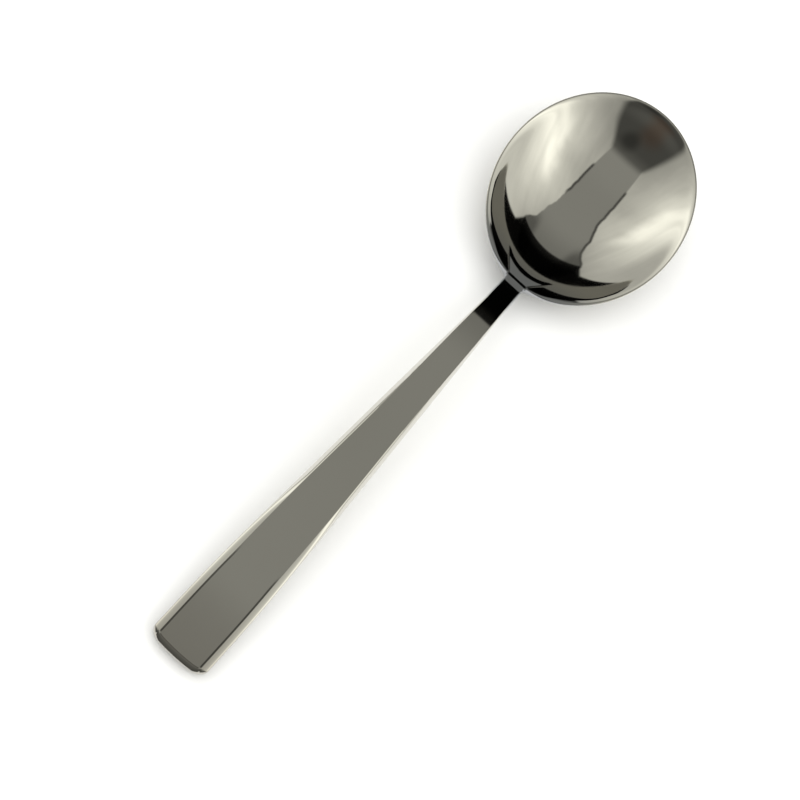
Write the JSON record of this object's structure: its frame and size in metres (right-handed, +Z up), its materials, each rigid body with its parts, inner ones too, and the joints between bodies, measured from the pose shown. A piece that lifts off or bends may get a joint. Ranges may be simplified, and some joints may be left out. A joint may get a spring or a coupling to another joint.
{
  "type": "serving spoon",
  "caption": "Polished steel serving spoon with a near-round bowl, a slim cranked neck and a thick flat hollow handle that widens to a blunt end.",
  "frame": {"origin": "centre of the spoon's length and width, on the table that it lies on", "axes": "+X along the spoon towards the bowl's tip, +Z up, with the spoon lying on its back"},
  "size_m": [0.2138, 0.0574, 0.0207],
  "materials": {
    "polished_steel": "mirror polished stainless steel with fine wiping scratches",
    "braze": "silver braze, ground flush and buffed",
    "cement": "dark resin cement, never seen from outside"
  },
  "bodies": {
    "root": {"bowl": "polished_steel", "handle_front": "polished_steel", "handle_back": "polished_steel", "seam_braze": "braze", "mouth_braze": "braze", "handle_filler": "cement"}
  },
  "joints": []
}
